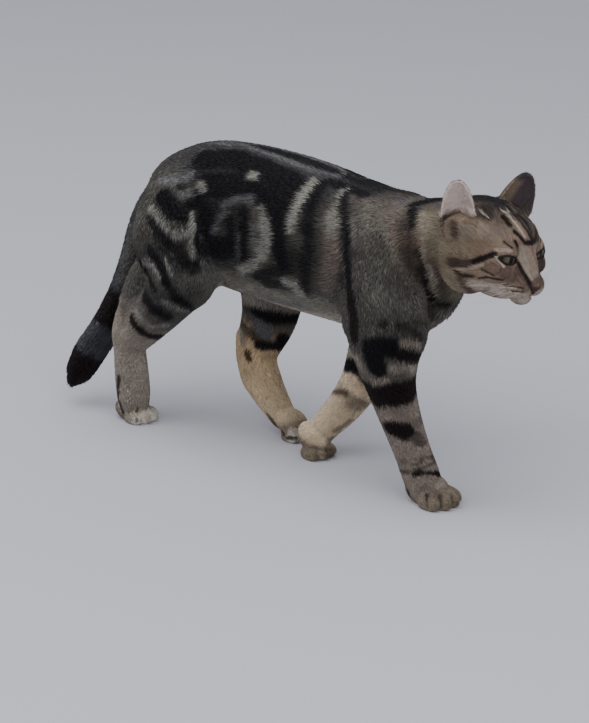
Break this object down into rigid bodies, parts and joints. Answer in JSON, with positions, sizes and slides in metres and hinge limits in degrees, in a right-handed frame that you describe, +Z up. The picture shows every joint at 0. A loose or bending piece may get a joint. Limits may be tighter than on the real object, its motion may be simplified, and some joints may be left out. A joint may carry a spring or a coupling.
{
  "type": "domestic cat model",
  "caption": "Still, life-size model of a short-haired blotched tabby tomcat in mid-walk, its head held low and its tail hanging.",
  "frame": {"origin": "under the middle of the bounding box, on the floor that the paws stand on", "axes": "+X is the way the cat walks, +Y its left side, +Z up"},
  "size_m": [0.4819, 0.1258, 0.2793],
  "materials": {
    "ear_left": "short dense fur",
    "ear_right": "short dense fur",
    "eye_left": "wet and clear over an olive-amber iris",
    "eye_right": "wet and clear over an olive-amber iris",
    "foreleg_left_lower": "short dense fur",
    "foreleg_left_paw": "short dense fur",
    "foreleg_left_upper": "short dense fur",
    "foreleg_right_lower": "short dense fur",
    "foreleg_right_paw": "short dense fur",
    "foreleg_right_upper": "short dense fur",
    "head": "short dense fur",
    "hindleg_left_foot": "short dense fur",
    "hindleg_left_paw": "short dense fur",
    "hindleg_left_shank": "short dense fur",
    "hindleg_left_thigh": "short dense fur",
    "hindleg_right_foot": "short dense fur",
    "hindleg_right_paw": "short dense fur",
    "hindleg_right_shank": "short dense fur",
    "hindleg_right_thigh": "short dense fur",
    "neck": "short dense fur",
    "tail_base": "short dense fur",
    "tail_middle": "short dense fur",
    "tail_tip": "short dense fur",
    "torso": "short dense fur"
  },
  "bodies": {
    "root": {"ear_left": "ear_left", "ear_right": "ear_right", "eye_left": "eye_left", "eye_right": "eye_right", "foreleg_left_lower": "foreleg_left_lower", "foreleg_left_paw": "foreleg_left_paw", "foreleg_left_upper": "foreleg_left_upper", "foreleg_right_lower": "foreleg_right_lower", "foreleg_right_paw": "foreleg_right_paw", "foreleg_right_upper": "foreleg_right_upper", "head": "head", "hindleg_left_foot": "hindleg_left_foot", "hindleg_left_paw": "hindleg_left_paw", "hindleg_left_shank": "hindleg_left_shank", "hindleg_left_thigh": "hindleg_left_thigh", "hindleg_right_foot": "hindleg_right_foot", "hindleg_right_paw": "hindleg_right_paw", "hindleg_right_shank": "hindleg_right_shank", "hindleg_right_thigh": "hindleg_right_thigh", "neck": "neck", "tail_base": "tail_base", "tail_middle": "tail_middle", "tail_tip": "tail_tip", "torso": "torso"}
  },
  "joints": []
}
